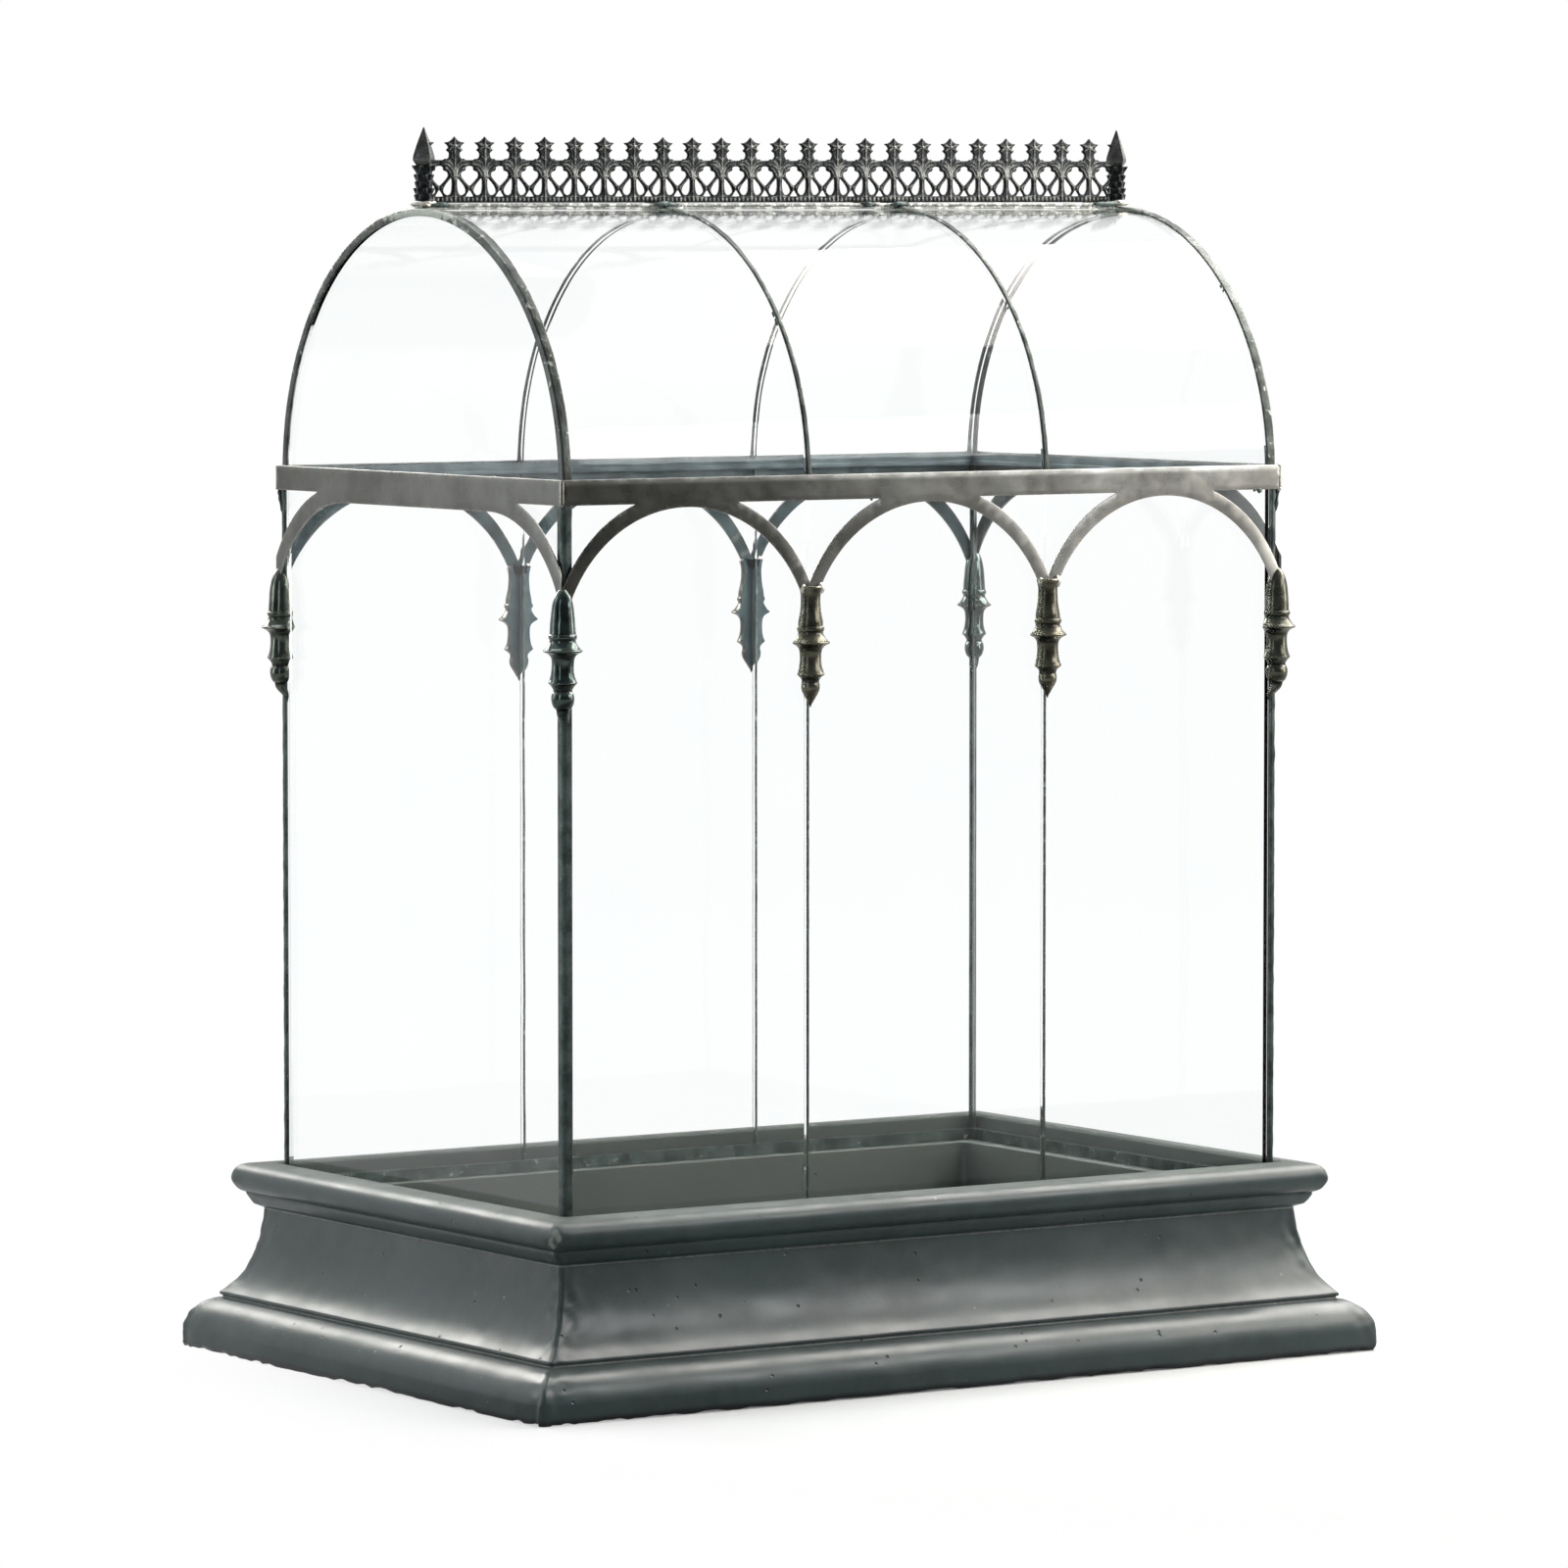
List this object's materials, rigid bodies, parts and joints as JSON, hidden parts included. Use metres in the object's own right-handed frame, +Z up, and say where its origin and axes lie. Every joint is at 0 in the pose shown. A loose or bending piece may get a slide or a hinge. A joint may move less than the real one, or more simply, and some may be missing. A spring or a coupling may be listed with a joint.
{
  "type": "wardian case",
  "caption": "Leaded glasshouse with a barrel roof, arcaded band, turned capitals and ridge cresting, resting in a deep moulded tray it lifts out of.",
  "frame": {"origin": "centre of the tray's underside", "axes": "+X along the long side, +Z up, the front faces -Y"},
  "size_m": [0.527, 0.367, 0.65],
  "materials": {
    "tray_paint": "slate-grey satin paint over a cast composite body, with pits, rubbed edges and a raw black foot",
    "band_sheet": "thin sheet with a cloudy grey-brown patina and a fine brushed grain",
    "came": "folded strip, soldered over and blackened, bright where the solder is rubbed",
    "pewter_casting": "glossy dark pewter-coloured casting",
    "dark_casting": "blackened casting with lighter raised edges",
    "glass": "clear float glass with a faint green tint"
  },
  "bodies": {
    "tray": {"tray": "tray_paint"},
    "glasshouse": {"arcade_back": "band_sheet", "arcade_front": "band_sheet", "arcade_left": "band_sheet", "arcade_right": "band_sheet", "capital_back_1": "pewter_casting", "capital_back_2": "pewter_casting", "capital_back_left": "pewter_casting", "capital_back_right": "pewter_casting", "capital_front_1": "pewter_casting", "capital_front_2": "pewter_casting", "capital_front_left": "pewter_casting", "capital_front_right": "pewter_casting", "cresting": "dark_casting", "end_light_left": "glass", "end_light_right": "glass", "finial_left": "dark_casting", "finial_right": "dark_casting", "mullion_back_1": "came", "mullion_back_2": "came", "mullion_front_1": "came", "mullion_front_2": "came", "pane_back_1": "glass", "pane_back_2": "glass", "pane_back_3": "glass", "pane_front_1": "glass", "pane_front_2": "glass", "pane_front_3": "glass", "pane_left": "glass", "pane_right": "glass", "post_back_left": "came", "post_back_right": "came", "post_front_left": "came", "post_front_right": "came", "rib_1": "came", "rib_2": "came", "rib_left": "came", "rib_right": "came", "ridge": "came", "roof_pane_back_1": "glass", "roof_pane_back_2": "glass", "roof_pane_back_3": "glass", "roof_pane_front_1": "glass", "roof_pane_front_2": "glass", "roof_pane_front_3": "glass", "shoulder_bar_back": "came", "shoulder_bar_front": "came", "shoulder_bar_left": "came", "shoulder_bar_right": "came", "sill_back": "came", "sill_front": "came", "sill_left": "came", "sill_right": "came"}
  },
  "joints": [
    {"name": "glasshouse_lift", "type": "slide", "parent": "tray", "child": "glasshouse", "axis": [0, 0, 1], "range_m": [0, 0.3]}
  ]
}
